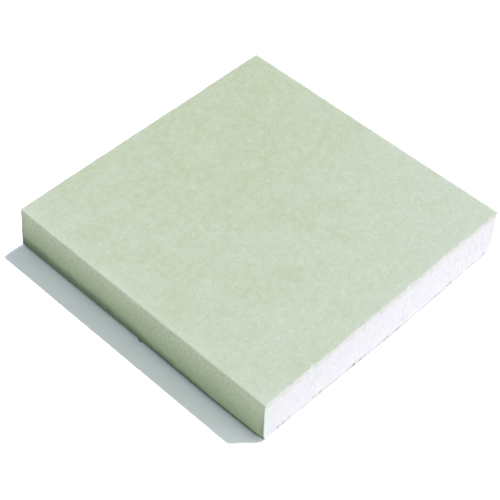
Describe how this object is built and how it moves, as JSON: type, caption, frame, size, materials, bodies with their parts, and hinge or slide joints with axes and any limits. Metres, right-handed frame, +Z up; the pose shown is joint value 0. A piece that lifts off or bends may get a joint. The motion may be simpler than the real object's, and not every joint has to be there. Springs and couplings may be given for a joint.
{
  "type": "drywall sheet",
  "caption": "Square offcut of moisture-resistant drywall: a gypsum core between a green face paper, folded round one bound edge, and a plain back paper.",
  "frame": {"origin": "middle of the sheet in plan, on the underside of the back paper", "axes": "+Z up through the face paper, +Y along the bound edge, and the bound edge faces -X"},
  "size_m": [0.077, 0.077, 0.0125],
  "materials": {
    "gypsum": "matt, white cast gypsum with fine pores",
    "green_face_paper": "matt, pale green fibrous paper",
    "plain_back_paper": "matt, grey-brown recycled paper"
  },
  "bodies": {
    "root": {"gypsum_core": "gypsum", "face_paper": "green_face_paper", "back_paper": "plain_back_paper"}
  },
  "joints": []
}
